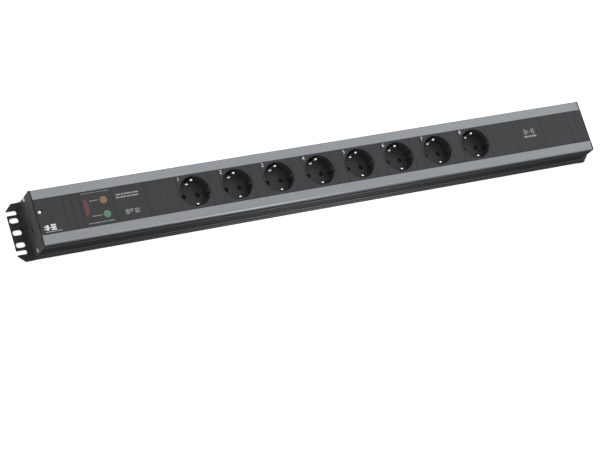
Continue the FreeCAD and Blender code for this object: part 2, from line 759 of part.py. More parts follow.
out["base_profile"] = make_profile()
out["upper_face_strip"] = strip
out["lower_face_strip"] = mirror_y(strip)
out["left_bracket"] = cut(plain_bracket, [earth_hole])
out["right_bracket"] = make_right_bracket(plain_bracket)
out["bracket_screws"] = group(left_screws + [mirror_x(screw) for screw in left_screws])
out["end_module"] = make_end_module()
out["end_module_screw"] = make_end_screw()
out["end_module_standoff"] = make_end_standoff()
out["narrow_fillers"] = group([make_plate(cell) for cell in left_filler_cells + right_filler_cells])
out["surge_cover"] = make_surge_cover()
out["label_cover"] = make_plate(label_cell)
out["lamp_cover"] = make_lamp_cover()
out["blank_cover"] = make_plate(blank_cell)
out["radio_cover"] = make_radio_cover()
out["last_cover"] = make_plate(last_cell)
out["socket_spacers"] = make_spacers()
for number, cell in enumerate(socket_cells, 1):
    centre = socket_x[number - 1]
    out["socket_%d" % number] = make_socket(cell)
    out["shutter_%d" % number] = make_shutter(centre)
    out["shutter_spring_%d" % number] = make_shutter_spring(centre)
out["line_rail"] = make_power_rail(1)
out["neutral_rail"] = make_power_rail(-1)
out["earth_rail"] = make_earth_rail()
out["rail_carrier"] = make_carrier()
out["earth_bond_screw"] = make_bond_screw()
out["amber_lens"] = make_lens(lamp_x, amber_y, lamp_d / 2)
out["green_lens"] = make_lens(lamp_x, green_y, lamp_d / 2)
out["tell_tale_lens"] = make_tell_tale()
out["surge_board"] = make_board(surge_cell)
out["surge_varistors"] = make_varistors()
out["indicator_leds"] = make_leds()
out["radio_board"] = make_board(radio_cell)
out["radio_relay"] = make_relay()
out["inlet_body"] = make_inlet()
out["inlet_pins"] = make_inlet_pins()
out["inlet_screws"] = make_inlet_screws()
out["line_wire"] = make_supply_wire(1, middle_y, rail_top)
out["neutral_wire"] = make_supply_wire(0, -middle_y, rail_top)
out["earth_wire"] = make_supply_wire(2, 0.0, carrier_z + rail_t)

os.makedirs("parts", exist_ok=True)
for name, shape in out.items():
    shape.exportStep("parts/%s.step" % name)
    print("%-20s solids %d valid %s volume %.1f" % (
        name, len(shape.Solids), shape.isValid(), shape.Volume))
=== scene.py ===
from math import cos, pi, radians, sin

import bpy
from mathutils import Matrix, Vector


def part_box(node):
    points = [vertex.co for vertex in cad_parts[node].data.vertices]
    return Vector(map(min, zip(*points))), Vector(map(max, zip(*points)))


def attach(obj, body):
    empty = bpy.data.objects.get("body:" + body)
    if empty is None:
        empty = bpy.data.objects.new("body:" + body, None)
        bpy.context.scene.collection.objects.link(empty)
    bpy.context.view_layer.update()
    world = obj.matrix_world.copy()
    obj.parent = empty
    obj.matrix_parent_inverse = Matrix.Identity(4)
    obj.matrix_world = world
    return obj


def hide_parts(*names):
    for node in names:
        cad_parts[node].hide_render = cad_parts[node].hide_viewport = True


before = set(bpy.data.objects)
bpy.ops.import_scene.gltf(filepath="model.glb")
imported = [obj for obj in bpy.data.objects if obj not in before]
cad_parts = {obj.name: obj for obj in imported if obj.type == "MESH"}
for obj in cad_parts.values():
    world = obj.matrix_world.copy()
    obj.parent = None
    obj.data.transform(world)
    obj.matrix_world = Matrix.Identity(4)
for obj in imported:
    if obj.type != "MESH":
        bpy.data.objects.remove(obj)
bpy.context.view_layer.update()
mm = 0.001

# --- View ----------------------------------------------------------------------------------------
# A long lens, high over the left-hand end and turned a little, so that the strip crosses the
# picture and its near side wall shows under the face.
bpy.ops.object.select_all(action="DESELECT")
bpy.ops.object.camera_add(location=(-1.21736, -0.71055, 2.33986),
                          rotation=(radians(21.494), radians(-21.419), radians(-18.020)))
camera = bpy.context.object
camera.name = "view"
camera.data.lens = 126.5
camera.data.clip_end = 30
bpy.context.scene.camera = camera

# --- Table and light -----------------------------------------------------------------------------
# A white paper table, lit from below too, in a white room with one wide soft box over the strip's
# right-hand end and a small low one facing its near side. Colours are shown with no film curve.
bpy.context.scene.view_settings.view_transform = "Standard"


class Flow:
    """One socket of a finish. Sums on it add Math nodes, and node() adds any other."""

    def __init__(self, tree, socket=None):
        self.tree = tree
        self.socket = socket

    def node(self, kind, settings, inputs, output=0):
        made = self.tree.nodes.new("ShaderNode" + kind)
        for name, value in settings.items():
            if name == "stops":
                ramp = made.color_ramp.elements
                while len(ramp) < len(value):
                    ramp.new(1.0)
                for stop, (place, colour) in zip(ramp, value):
                    stop.position, stop.color = place, colour
            else:
                setattr(made, name, value)
        for name, value in inputs.items():
            if isinstance(value, Flow):
                self.tree.links.new(value.socket, made.inputs[name])
            else:
                made.inputs[name].default_value = value
        return Flow(self.tree, made.outputs[output])

    def sum(self, operation, first, second):
        return self.node("Math", {"operation": operation}, {0: first, 1: second})

    def __add__(self, other):
        return self.sum("ADD", self, other)

    def __radd__(self, other):
        return self.sum("ADD", other, self)

    def __sub__(self, other):
        return self.sum("SUBTRACT", self, other)

    def __rsub__(self, other):
        return self.sum("SUBTRACT", other, self)

    def __mul__(self, other):
        return self.sum("MULTIPLY", self, other)

    def __rmul__(self, other):
        return self.sum("MULTIPLY", other, self)


def start_finish(name, constants):
    """A new material with what never varies set on its shader, and the place to build from."""
    material = bpy.data.materials.new(name)
    material.use_nodes = True
    shader = material.node_tree.nodes["Principled BSDF"]
    for socket, value in constants.items():
        shader.inputs[socket].default_value = value
    return material, Flow(material.node_tree).node("TexCoord", {}, {}, "Object")


def feed(material, flows):
    """Link what varies to the material's shader."""
    shader = material.node_tree.nodes["Principled BSDF"]
    for socket, flow in flows.items():
        flow.tree.links.new(flow.socket, shader.inputs[socket])


def grained(name, dark, light, gloss, scale, relief, stretch=(1, 1, 1), constants=None, clouds=30):
    """A finish whose colour and gloss drift with a fine grain that also stands up from it."""
    material, place = start_finish(name, constants or {})
    along = place.node("VectorMath", {"operation": "MULTIPLY"}, {0: place, 1: stretch})
    grain = place.node("TexNoise", {}, {"Vector": along, "Scale": scale, "Detail": 5.0})
    drift = place.node("TexNoise", {}, {"Vector": along, "Scale": scale / clouds, "Detail": 2.0})
    tone = grain * 0.55 + drift * 0.45
    spread = (tone - 0.5) * 2.2 + 0.5
    colour = place.node("Mix", {"data_type": "RGBA"}, {0: spread, 6: (*dark, 1), 7: (*light, 1)}, 2)
    rise = place.node("Bump", {}, {"Height": grain, "Strength": 0.6, "Distance": relief})
    feed(material, {"Base Color": colour, "Normal": rise,
                    "Roughness": gloss[0] + tone * (gloss[1] - gloss[0])})
    return material


bpy.ops.mesh.primitive_plane_add(size=9.0)
table = bpy.context.object
table.name = "table"
table.data.materials.append(grained("white paper", (0.86, 0.86, 0.86), (0.9, 0.9, 0.9), (0.8, 0.95),
                                    60.0, 0.0001, (1, 1, 1), {"Emission Color": (1.0, 1.0, 1.0, 1.0),
                                                              "Emission Strength": 0.45}))

room = bpy.data.worlds.new("white room")
room.use_nodes = True
room.node_tree.nodes["Background"].inputs["Color"].default_value = (1.0, 1.0, 1.0, 1.0)
room.node_tree.nodes["Background"].inputs["Strength"].default_value = 1.21
bpy.context.scene.world = room

for name, stand, aim, size, power in (("key box", (3.9, 2.4, 4.2), (0.0, 0.0, 0.0), 4.0, 42.0),
                                      ("low box", (-0.01, -0.29, 0.03), (-0.01, 0, 0.03), 0.04, 1.4)):
    bpy.ops.object.light_add(type="AREA", location=stand)
    box = bpy.context.object
    box.name = name
    box.data.size = size
    box.data.energy = power
    box.visible_camera = False
    box.rotation_euler = (Vector(aim) - Vector(stand)).to_track_quat("-Z", "Y").to_euler()

# --- Base profile --------------------------------------------------------------------------------
# The body of the strip is one extruded aluminium channel, coated black. Its foot rails stand out
# at the back, ribs run along its side walls, and two lips and two T-slots hold what lies on top.


def pushed(name, points, travel):
    """Draw a closed outline point by point, fill it and push it along travel."""
    bpy.ops.object.select_all(action="DESELECT")
    bpy.ops.mesh.primitive_plane_add(size=mm, location=points[0])
    piece = bpy.context.object
    piece.name = name
    bpy.ops.object.mode_set(mode="EDIT")
    bpy.ops.mesh.merge(type="CENTER")
    for here, there in zip(points, points[1:] + points[:1]):
        step = Vector(there) - Vector(here)
        bpy.ops.mesh.extrude_region_move(TRANSFORM_OT_translate={"value": step})
    bpy.ops.mesh.select_all(action="SELECT")
    bpy.ops.mesh.remove_doubles(threshold=0.001 * mm)
    bpy.ops.mesh.edge_face_add()
    bpy.ops.mesh.extrude_region_move(TRANSFORM_OT_translate={"value": travel})
    bpy.ops.mesh.select_all(action="SELECT")
    bpy.ops.mesh.normals_make_consistent(inside=False)
    bpy.ops.object.mode_set(mode="OBJECT")
    bpy.ops.object.transform_apply(location=True, rotation=True, scale=True)
    return piece


def rounded(piece, width, segments=2, angle=35):
    """Break a piece's sharp edges, and shade what is round as round."""
    bpy.ops.object.select_all(action="DESELECT")
    piece.select_set(True)
    bpy.context.view_layer.objects.active = piece
    edges = piece.modifiers.new("edges", "BEVEL")
    edges.width, edges.segments, edges.angle_limit = width, segments, radians(angle)
    bpy.ops.object.modifier_apply(modifier="edges")
    bpy.ops.object.shade_smooth_by_angle(angle=radians(angle))
    return piece


def fitted(piece, finish, slot, *nodes):
    """Even out a piece's shading, give it its finish and fix it to the strip for its CAD nodes."""
    bpy.ops.object.select_all(action="DESELECT")
    piece.select_set(True)
    bpy.context.view_layer.objects.active = piece
    even = piece.modifiers.new("even", "WEIGHTED_NORMAL")
    even.keep_sharp = True
    bpy.ops.object.modifier_apply(modifier="even")
    piece.data.materials.clear()
    piece.data.materials.append(finish)
    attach(piece, "strip")
    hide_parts(*nodes)


low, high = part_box("base_profile")
face_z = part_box("upper_face_strip")[1].z
seat_z = high.z
wall = high.y - 1.7 * mm
neck = wall - 1.1 * mm
slot_y = 29.1 * mm
under_z = seat_z - 2 * mm
right_half = [
    (high.y, 0), (high.y, 9.6 * mm), (wall + 0.4 * mm, 9.6 * mm), (wall + 0.4 * mm, 11 * mm),
    (wall + 1.1 * mm, 11 * mm), (wall + 1.1 * mm, 17 * mm), (wall, 17 * mm),
    (wall, face_z - 12 * mm), (wall + 0.8 * mm, face_z - 12 * mm),
    (wall + 0.8 * mm, face_z - 9.5 * mm), (neck, face_z - 9.5 * mm), (neck, seat_z),
    (slot_y + 0.9 * mm, seat_z), (slot_y + 0.9 * mm, seat_z - 1.3 * mm),
    (slot_y + 1.9 * mm, seat_z - 1.3 * mm), (slot_y + 1.9 * mm, seat_z - 2.5 * mm),
    (slot_y - 1.9 * mm, seat_z - 2.5 * mm), (slot_y - 1.9 * mm, seat_z - 1.3 * mm),
    (slot_y - 0.9 * mm, seat_z - 1.3 * mm), (slot_y - 0.9 * mm, seat_z),
    (21.6 * mm, seat_z), (21.6 * mm, under_z), (slot_y - 3.2 * mm, under_z),
    (slot_y - 3.2 * mm, seat_z - 3.7 * mm), (slot_y + 3.2 * mm, seat_z - 3.7 * mm),
    (slot_y + 3.2 * mm, under_z), (wall - 2.8 * mm, under_z), (wall - 2.8 * mm, 2.2 * mm),
]
outline = right_half + [(-y, z) for y, z in reversed(right_half)]
channel = pushed("channel", [(low.x, y, z) for y, z in outline], (high.x - low.x, 0, 0))
rounded(channel, 0.3 * mm)
profile_black, place = start_finish("black anodised profile", {"Specular IOR Level": 0.0})
along = place.node("VectorMath", {"operation": "MULTIPLY"}, {0: place, 1: (0.01, 1.0, 1.0)})
lines = place.node("TexNoise", {}, {"Vector": along, "Scale": 1500.0, "Detail": 5.0})
# The colour steps with height up the side wall, copying its lit and shaded bands: painted light and
# shade. It is darkest at the foot, lighter over the lower part, dark across the middle and lighter again
# near the top.
painted_shade_height = place.node("SeparateXYZ", {}, {0: place}, "Z") * (1 / high.z)
tone = place.node("ValToRGB", {"stops": [
    (0.0, (0.018, 0.018, 0.019, 1)), (0.15, (0.03, 0.03, 0.031, 1)), (0.34, (0.034, 0.034, 0.035, 1)),
    (0.39, (0.014, 0.014, 0.0145, 1)), (0.74, (0.015, 0.015, 0.0155, 1)),
    (0.78, (0.038, 0.038, 0.039, 1)), (1.0, (0.038, 0.038, 0.039, 1))]}, {"Fac": painted_shade_height})
streak = place.node("Mix", {"data_type": "RGBA"},
                    {0: lines, 6: (0.6, 0.6, 0.6, 1), 7: (1.4, 1.4, 1.4, 1)}, 2)
colour = place.node("Mix", {"data_type": "RGBA", "blend_type": "MULTIPLY"}, {0: 1.0, 6: tone, 7: streak},
                    2)
rise = place.node("Bump", {}, {"Height": lines, "Strength": 0.6, "Distance": 0.02 * mm})
feed(profile_black, {"Base Color": colour, "Normal": rise, "Roughness": 0.55 + lines * 0.14})
fitted(channel, profile_black, "profile_black", "base_profile")

# --- Silver face strips --------------------------------------------------------------------------
# Two aluminium strips, satin-anodised, slide into the channel's T-slots on either side of the
# modules. The extrusion die leaves fine lines along them, and their outer edges drop a little.
silver, place = start_finish("satin silver anodising", {"Metallic": 0.85})
along = place.node("VectorMath", {"operation": "MULTIPLY"}, {0: place, 1: (0.006, 1.0, 1.0)})
lines = place.node("TexNoise", {}, {"Vector": along, "Scale": 1300.0, "Detail": 4.0})
cloud = place.node("TexNoise", {}, {"Vector": place, "Scale": 9.0, "Detail": 2.0})
tone = (lines - 0.5) * 1.6 + (cloud - 0.5) * 0.5 + 0.5
colour = place.node("Mix", {"data_type": "RGBA"},
                    {0: tone, 6: (0.2, 0.211, 0.222, 1), 7: (0.255, 0.268, 0.28, 1)}, 2)
rise = place.node("Bump", {}, {"Height": lines, "Strength": 0.35, "Distance": 0.02 * mm})
# Beyond 34.4 mm from the middle the colour is cut to 0.3 of itself: painted shade on the strips' sloping
# outer edges.
aside = place.node("SeparateXYZ", {}, {0: place}, "Y")
painted_edge_shade = place.node("ValToRGB", {"stops": [(0.344, (1, 1, 1, 1)), (0.352, (0.3, 0.3, 0.3, 1))]},
                  {"Fac": place.node("Math", {"operation": "ABSOLUTE"}, {0: aside}) * 10})
colour = place.node("Mix", {"data_type": "RGBA", "blend_type": "MULTIPLY"},
                    {0: 1.0, 6: colour, 7: painted_edge_shade}, 2)
feed(silver, {"Base Color": colour, "Normal": rise, "Roughness": 0.46 + lines * 0.14})

for name, node, side in (("silver_strip_upper", "upper_face_strip", 1),
                         ("silver_strip_lower", "lower_face_strip", -1)):
    low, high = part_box(node)
    inner = min(abs(low.y), abs(high.y))
    outer = max(abs(low.y), abs(high.y))
    tongue_z = seat_z - 1.4 * mm
    section = [
        (inner, seat_z), (inner, face_z - 0.4 * mm), (inner + 0.4 * mm, face_z),
        (outer - 1.2 * mm, face_z - 0.8 * mm), (outer, face_z - 1.9 * mm), (outer, seat_z),
        (slot_y + 0.8 * mm, seat_z), (slot_y + 0.8 * mm, tongue_z), (slot_y + 1.8 * mm, tongue_z),
        (slot_y + 1.8 * mm, low.z), (slot_y - 1.8 * mm, low.z), (slot_y - 1.8 * mm, tongue_z),
        (slot_y - 0.8 * mm, tongue_z), (slot_y - 0.8 * mm, seat_z),
    ]
    strip = pushed(name, [(low.x, side * y, z) for y, z in section], (high.x - low.x, 0, 0))
    fitted(rounded(strip, 0.15 * mm), silver, "strip_silver", node)

# --- Rack brackets -------------------------------------------------------------------------------
# Each end is closed by a bracket folded from 2 mm steel and powder-coated a brownish black. Its
# flange is slotted for the holes of a rack upright, and two more slots open to its side edges.


def carve(piece, cutter, operation="DIFFERENCE"):
    """Cut a piece away with a cutter, or join the two, and put the cutter away."""
    bpy.ops.object.select_all(action="DESELECT")
    piece.select_set(True)
    bpy.context.view_layer.objects.active = piece
    cut = piece.modifiers.new("cut", "BOOLEAN")
    cut.operation, cut.solver, cut.object = operation, "EXACT", cutter
    bpy.ops.object.modifier_apply(modifier="cut")
    bpy.data.objects.remove(cutter)


def turned(name, points, centre, axis=(0, 0, 1), steps=64):
    """Draw half a section point by point, and spin it round the axis through centre."""
    bpy.ops.object.select_all(action="DESELECT")
    bpy.ops.mesh.primitive_plane_add(size=mm, location=points[0])
    piece = bpy.context.object
    piece.name = name
    bpy.ops.object.mode_set(mode="EDIT")
    bpy.ops.mesh.merge(type="CENTER")
    for here, there in zip(points, points[1:]):
        step = Vector(there) - Vector(here)
        bpy.ops.mesh.extrude_region_move(TRANSFORM_OT_translate={"value": step})
    bpy.ops.mesh.select_all(action="SELECT")
    bpy.ops.mesh.spin(steps=steps, angle=2 * pi, center=centre, axis=axis)
    bpy.ops.mesh.select_all(action="SELECT")
    bpy.ops.mesh.remove_doubles(threshold=0.001 * mm)
    bpy.ops.mesh.normals_make_consistent(inside=False)
    bpy.ops.object.mode_set(mode="OBJECT")
    bpy.ops.object.transform_apply(location=True, rotation=True, scale=True)
    bpy.ops.object.shade_smooth_by_angle(angle=radians(35))
    return piece


def stadium(x, y, long, wide):
    """A cutter for a slot along X with round ends, through the bracket's flange."""
    bpy.ops.object.select_all(action="DESELECT")
    bpy.ops.mesh.primitive_circle_add(vertices=36, radius=wide / 2, fill_type="NGON",
                                      location=(x - (long - wide) / 2, y, -mm))
    cutter = bpy.context.object
    bpy.ops.object.mode_set(mode="EDIT")
    bpy.ops.mesh.select_all(action="DESELECT")
    bpy.ops.object.mode_set(mode="OBJECT")
    for vertex in cutter.data.vertices:
        vertex.select = vertex.co.x > 0.001 * mm
    bpy.ops.object.mode_set(mode="EDIT")
    bpy.ops.transform.translate(value=(long - wide, 0, 0))
    bpy.ops.mesh.select_all(action="SELECT")
    bpy.ops.mesh.extrude_region_move(TRANSFORM_OT_translate={"value": (0, 0, 5 * mm)})
    bpy.ops.mesh.select_all(action="SELECT")
    bpy.ops.mesh.normals_make_consistent(inside=False)
    bpy.ops.object.mode_set(mode="OBJECT")
    bpy.ops.object.transform_apply(location=True, rotation=True, scale=True)
    return cutter


def copied(piece, name, shift=(0, 0, 0), size=(1, 1, 1)):
    """A copy with a mesh of its own, moved by shift or turned over across the origin by size."""
    bpy.ops.object.select_all(action="DESELECT")
    piece.select_set(True)
    bpy.context.view_layer.objects.active = piece
    bpy.ops.object.duplicate()
    twin = bpy.context.object
    twin.name = name
    twin.location = shift
    twin.scale = size
    bpy.ops.object.transform_apply(location=True, rotation=True, scale=True)
    if min(size) < 0:
        bpy.ops.object.mode_set(mode="EDIT")
        bpy.ops.mesh.select_all(action="SELECT")
        bpy.ops.mesh.normals_make_consistent(inside=False)
        bpy.ops.object.mode_set(mode="OBJECT")
    return twin


low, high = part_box("left_bracket")
sheet = 2 * mm
plate_y = 36 * mm
turn = radians(15)
bend = [(high.x - 3.5 * mm + 3.5 * mm * sin(k * turn), 3.5 * mm - 3.5 * mm * cos(k * turn))
        for k in range(7)]
hollow = [(high.x - 3.5 * mm + 1.5 * mm * sin(k * turn), 3.5 * mm - 1.5 * mm * cos(k * turn))
          for k in range(6, -1, -1)]
fold = [(low.x, 0)] + bend + [(high.x, high.z), (high.x - sheet, high.z)]
fold += hollow + [(low.x, sheet)]
bracket = pushed("bracket_left", [(x, low.y, z) for x, z in fold], (0, high.y - low.y, 0))
screw_y, screw_z = 33 * mm, face_z - 25.5 * mm
for side in (-1, 1):
    trim = [(plate_y, 3.5 * mm), (plate_y, high.z - 1.6 * mm), (plate_y - 1.6 * mm, high.z + mm * 0.1),
            (high.y + mm, high.z + mm), (high.y + mm, 3.5 * mm)]
    carve(bracket, pushed("cutter", [(high.x - 6 * mm, side * y, z) for y, z in trim], (8 * mm, 0, 0)))
    corner = [(low.x - mm, high.y - 9.6 * mm), (low.x + 9.6 * mm, high.y + mm),
              (low.x - mm, high.y + mm)]
    carve(bracket, pushed("cutter", [(x, side * y, -mm) for x, y in corner], (0, 0, 4 * mm)))
    carve(bracket, stadium(high.x - 25.15 * mm, side * 25.5 * mm, 35.8 * mm, 5.8 * mm))
    sink = [(high.x - sheet - mm, 0), (high.x - sheet - mm, 2.95), (high.x - sheet + 0.3 * mm, 2.95),
            (high.x - sheet + 1.8 * mm, 1.5), (high.x + mm, 1.5), (high.x + mm, 0)]
    carve(bracket, turned("cutter", [(x, side * screw_y + r * mm, screw_z) for x, r in sink],
                          (0, side * screw_y, screw_z), (1, 0, 0), 32))
for row in (-1, 0, 1):
    carve(bracket, stadium(high.x - 13.25 * mm, row * 15.875 * mm, 12 * mm, 7 * mm))
right_bracket = copied(bracket, "bracket_right", size=(-1, 1, 1))
earth_y, earth_z = -7.7 * mm, 25.5 * mm
earth_hole = [(high.x - 3 * mm, 0), (high.x - 3 * mm, 2.75), (high.x + mm, 2.75), (high.x + mm, 0)]
carve(bracket, turned("cutter", [(x, earth_y + r * mm, earth_z) for x, r in earth_hole],
                      (0, earth_y, earth_z), (1, 0, 0), 32))
low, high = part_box("inlet_body")
inlet_y, inlet_z = 17.2 * mm, (low.z + high.z) / 2
window = [(-inlet_y, inlet_z - 12.4 * mm), (inlet_y, inlet_z - 12.4 * mm),
          (inlet_y, inlet_z + 12.4 * mm), (-inlet_y, inlet_z + 12.4 * mm)]
right_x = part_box("right_bracket")[0].x
carve(right_bracket, pushed("cutter", [(right_x - 10 * mm, y, z) for y, z in window], (30 * mm, 0, 0)))
powder_coat = grained("brownish black powder coat", (0.007, 0.0066, 0.006), (0.036, 0.034, 0.031),
                      (0.5, 0.66), 700.0, 0.06 * mm, (1, 1, 1), {"Specular IOR Level": 0.15}, 6)
fitted(rounded(bracket, 0.25 * mm), powder_coat, "bracket_black", "left_bracket")
fitted(rounded(right_bracket, 0.25 * mm), powder_coat, "bracket_black", "right_bracket")

# --- Bracket screws ------------------------------------------------------------------------------
# Four bright zinc-plated screws with countersunk cross heads hold the brackets to the channel.
# The heads lie flush in the sheet.
zinc = grained("bright zinc plate", (0.62, 0.63, 0.64), (0.78, 0.79, 0.8), (0.22, 0.34), 900.0,
               0.01 * mm, (1, 1, 1), {"Metallic": 1.0})


def joined(name, pieces):
    """Several pieces made one object."""
    bpy.ops.object.select_all(action="DESELECT")
    for piece in pieces:
        piece.select_set(True)
    bpy.context.view_layer.objects.active = pieces[0]
    bpy.ops.object.join()
    pieces[0].name = name
    return pieces[0]


def cross_head(x, y, z, length):
    """A countersunk screw along X, its head at x facing -X, with a cross recess."""
    section = [(0, 0), (0, 2.7), (0.12, 2.88), (0.35, 2.88), (1.8, 1.4), (length - 1, 1.4),
               (length, 0.6), (length, 0)]
    screw = turned("screw", [(x + a * mm, y + r * mm, z) for a, r in section], (x, y, z), (1, 0, 0), 32)
    for tall, wide in ((1.6, 0.35), (0.35, 1.6)):
        recess = [(y - wide * mm, z - tall * mm), (y + wide * mm, z - tall * mm),
                  (y + wide * mm, z + tall * mm), (y - wide * mm, z + tall * mm)]
        carve(screw, pushed("cutter", [(x - mm, b, c) for b, c in recess], (1.9 * mm, 0, 0)))
    return screw


low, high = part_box("bracket_screws")
screws = [cross_head(low.x, screw_y, screw_z, 14)]
screws.append(copied(screws[0], "screw", shift=(0, -2 * screw_y, 0)))
screws += [copied(screw, "screw", size=(-1, 1, 1)) for screw in screws]
fitted(joined("bracket_screw_set", screws), zinc, "zinc_screw", "bracket_screws")

# --- Face plates ---------------------------------------------------------------------------------
# Every module that isn't a socket is a moulded satin black plate that snaps between the channel's
# lips with two skirts and hooks. Hairline seams are left between the plates.
lip_y = 21.6 * mm
plate_half = 22.5 * mm
plastic_black = grained("satin black moulding", (0.0205, 0.0213, 0.0225), (0.0285, 0.0297, 0.031),
                        (0.4, 0.52), 2200.0, 0.015 * mm, (1, 1, 1), {"Specular IOR Level": 0.25})


def face_plate(name, x0, x1, skirts=True):
    """A flat plate between x0 and x1 with broken edges, and with the skirts and hooks under it."""
    front = [(-plate_half, seat_z), (-plate_half, face_z), (plate_half, face_z), (plate_half, seat_z)]
    skirt = lip_y - 0.3 * mm
    if skirts:
        front += [(skirt, seat_z), (skirt, seat_z - 6 * mm), (skirt - mm, seat_z - 6 * mm),
                  (skirt - mm, seat_z), (mm - skirt, seat_z), (mm - skirt, seat_z - 6 * mm),
                  (-skirt, seat_z - 6 * mm), (-skirt, seat_z)]
    plate = rounded(pushed(name, [(x0, y, z) for y, z in front], (x1 - x0, 0, 0)), 0.3 * mm, 3)
    middle, half = (x0 + x1) / 2, min(6 * mm, (x1 - x0) / 2 - 0.5 * mm)
    top = under_z - 0.1 * mm
    hooks = [plate]
    for side in (-1, 1):
        wedge = [(skirt - 0.3 * mm, top), (skirt + 1.2 * mm, top), (skirt, top - 2.4 * mm),
                 (skirt - 0.3 * mm, top - 2.4 * mm)]
        hook = pushed("hook", [(middle - half, side * y, z) for y, z in wedge], (2 * half, 0, 0))
        hooks.append(rounded(hook, 0.1 * mm))
    return joined(name, hooks)


def across(node):
    """How far a node reaches along X."""
    low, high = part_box(node)
    return low.x, high.x


gap = 0.2 * mm
end_plate = face_plate("end_plate", *across("end_module"))
low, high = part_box("end_module_screw")
post = Vector(((low.x + high.x) / 2, (low.y + high.y) / 2, 0))
well = [(0, seat_z - 0.6 * mm), (3 * mm, seat_z - 0.6 * mm), (3 * mm, face_z - 0.3 * mm),
        (3.4 * mm, face_z + 0.1 * mm), (3.4 * mm, face_z + mm), (0, face_z + mm)]
carve(end_plate, turned("cutter", [(post.x + r, post.y, z) for r, z in well], post, steps=48))
fitted(end_plate, plastic_black, "plate_black", "end_module")

surge_plate = face_plate("surge_plate", *across("surge_cover"))
for node in ("amber_lens", "green_lens"):
    low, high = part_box(node)
    middle = (low + high) / 2
    bore = [(0, seat_z - 2 * mm), (5.1 * mm, seat_z - 2 * mm), (5.1 * mm, face_z - 0.2 * mm),
            (5.4 * mm, face_z + 0.1 * mm), (5.4 * mm, face_z + mm), (0, face_z + mm)]
    carve(surge_plate, turned("cutter", [(middle.x + r, middle.y, z) for r, z in bore], middle))
fitted(surge_plate, plastic_black, "plate_black", "surge_cover")

lamp_plate = face_plate("lamp_plate", *across("lamp_cover"))
low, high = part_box("tell_tale_lens")
tell_tale = (low + high) / 2
bore = [(0, seat_z - 2 * mm), (2.1 * mm, seat_z - 2 * mm), (2.1 * mm, face_z + mm), (0, face_z + mm)]
carve(lamp_plate, turned("cutter", [(tell_tale.x + r, tell_tale.y, z) for r, z in bore], tell_tale))
fitted(lamp_plate, plastic_black, "plate_black", "lamp_cover")

for name, node in (("label_plate", "label_cover"), ("blank_plate", "blank_cover"),
                   ("radio_plate", "radio_cover"), ("last_plate", "last_cover")):
    fitted(face_plate(name, *across(node)), plastic_black, "plate_black", node)

fillers = []
for start, end in ((across("end_module")[1], across("surge_cover")[0]),
                   (across("last_cover")[1], across("narrow_fillers")[1])):
    width = (end - start - (gap if end < 0 else 0)) / 2
    fillers.append(face_plate("filler", start + gap, start + width))
    fillers.append(face_plate("filler", start + width + gap, start + 2 * width))
fitted(joined("filler_set", fillers), plastic_black, "plate_black", "narrow_fillers")

spacers = [face_plate("spacer", across("socket_1")[1] + gap, across("socket_2")[0] - gap)]
pitch = across("socket_2")[0] - across("socket_1")[0]
spacers += [copied(spacers[0], "spacer", shift=(k * pitch, 0, 0)) for k in range(1, 7)]
fitted(joined("spacer_set", spacers), plastic_black, "plate_black", "socket_spacers")

# --- End screw -----------------------------------------------------------------------------------
# One small bright pan-head screw holds the end plate down to the hexagonal standoff under it.
head_z = seat_z - 0.6 * mm
section = [(0, 1.6), (1.9, 1.55), (2.4, 1.25), (2.6, 0.7), (2.6, 0), (1.45, 0), (1.45, -7.4), (1, -8),
           (0, -8)]
end_screw = turned("end_screw", [(post.x + r * mm, post.y, head_z + z * mm) for r, z in section], post,
                   steps=40)
for wide, tall in ((1.4, 0.3), (0.3, 1.4)):
    cross = [(-wide, -tall), (wide, -tall), (wide, tall), (-wide, tall)]
    carve(end_screw, pushed("cutter", [(post.x + a * mm, post.y + b * mm, head_z + 0.8 * mm)
                                       for a, b in cross], (0, 0, 2 * mm)))
fitted(end_screw, zinc, "zinc_screw", "end_module_screw")

# --- Sockets -------------------------------------------------------------------------------------
# A socket is one black moulding: a plate with a deep round recess and a fine raised rim, a guide
# rib on either hand, two sunk pin holes, slots for the earth clips and a shroud below.
low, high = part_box("socket_1")
socket_x = (low.x + high.x) / 2
floor_z = face_z - 17.5 * mm
below_z = floor_z - 2 * mm
cup_r = 21.3 * mm


def lathe(name, section, x, steps=72):
    """Turn a section of radius and height, in millimetres, about the upright at x."""
    points = [(x + r * mm, 0, z * mm) for r, z in section]
    return turned(name, points, (x, 0, 0), steps=steps)


def block(name, x0, x1, y0, y1, z0, z1):
    """A plain block of material, to be joined on or cut away."""
    corners = [(x0, y0, z0), (x1, y0, z0), (x1, y1, z0), (x0, y1, z0)]
    return pushed(name, corners, (0, 0, z1 - z0))


front = [(-plate_half, seat_z), (-plate_half, face_z), (plate_half, face_z), (plate_half, seat_z)]
socket = pushed("socket_moulding_1", [(low.x, y, z) for y, z in front], (high.x - low.x, 0, 0))
rounded(socket, 0.3 * mm, 3)
face, seat, floor, below = (z / mm for z in (face_z, seat_z, floor_z, below_z))
carve(socket, lathe("cup", [(0, below), (21.3, below), (21.3, seat + 1), (0, seat + 1)], socket_x),
      "UNION")
carve(socket, lathe("rim", [(0, seat), (20.9, seat), (20.9, face + 0.2), (20.75, face + 0.4),
                            (0, face + 0.4)], socket_x, 96), "UNION")
shroud = cup_r - 0.1 * mm
carve(socket, block("shroud", socket_x - shroud, socket_x + shroud, -shroud, shroud, low.z, floor_z),
      "UNION")
carve(socket, lathe("recess", [(0, floor), (19.2, floor), (19.75, floor + 0.25), (20, floor + 0.8),
                               (20, face), (20.15, face + 0.3), (20.5, face + 0.5), (20.5, face + 2),
                               (0, face + 2)], socket_x, 96))
hollow = shroud - 1.3 * mm
carve(socket, block("inside", socket_x - hollow, socket_x + hollow, -hollow, hollow, low.z - mm,
                    below_z))
